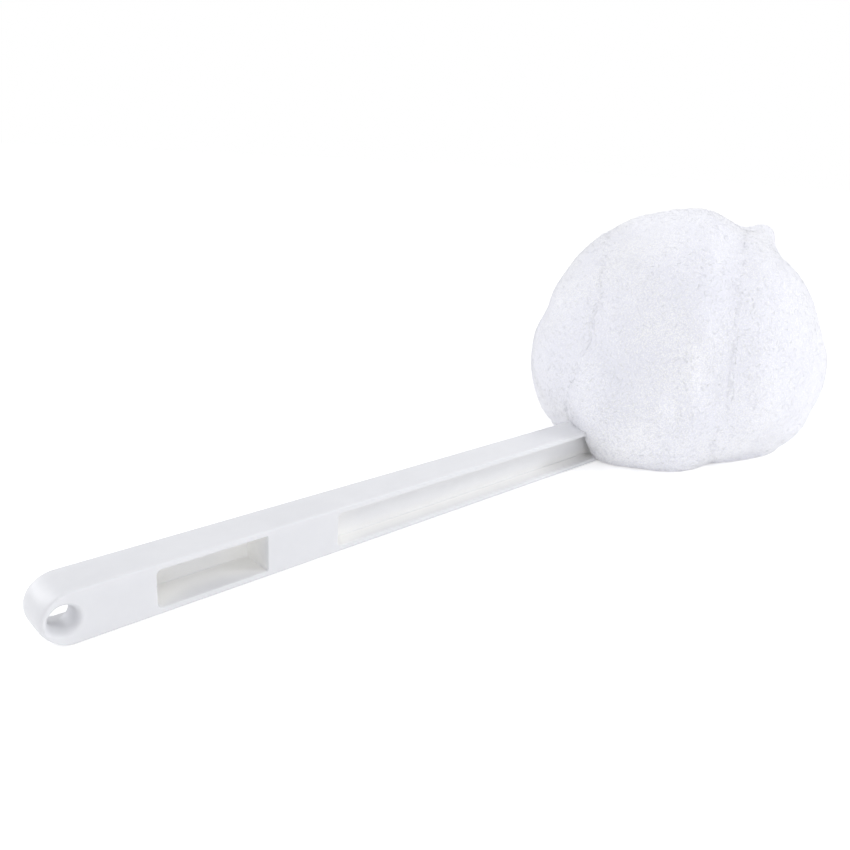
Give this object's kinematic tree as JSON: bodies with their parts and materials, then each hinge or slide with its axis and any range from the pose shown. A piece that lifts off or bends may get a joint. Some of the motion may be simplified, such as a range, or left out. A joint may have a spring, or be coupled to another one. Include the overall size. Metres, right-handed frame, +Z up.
{
  "type": "toilet bowl mop",
  "caption": "Toilet bowl mop: a straight moulded handle with a hanging hole, a pocket and long side channels, tied into a round head of deep pile cloth.",
  "frame": {"origin": "on the surface that the mop lies on, under the middle of its bounding box", "axes": "+X from the hanging hole to the head, +Z up, the pocket side of the handle looks to -Y"},
  "size_m": [0.305, 0.107, 0.0885],
  "materials": {
    "white_moulding": "satin moulded",
    "knit_backing": "knitted",
    "galvanised_wire": "galvanised",
    "core_pile": "pile",
    "side_pile": "deep pile",
    "top_pile": "deep pile"
  },
  "bodies": {
    "root": {"handle": "white_moulding", "gathered_backing": "knit_backing", "binding_wire": "galvanised_wire", "core_pad": "core_pile", "side_pile_strip": "side_pile", "top_pile_strip": "top_pile"}
  },
  "joints": []
}
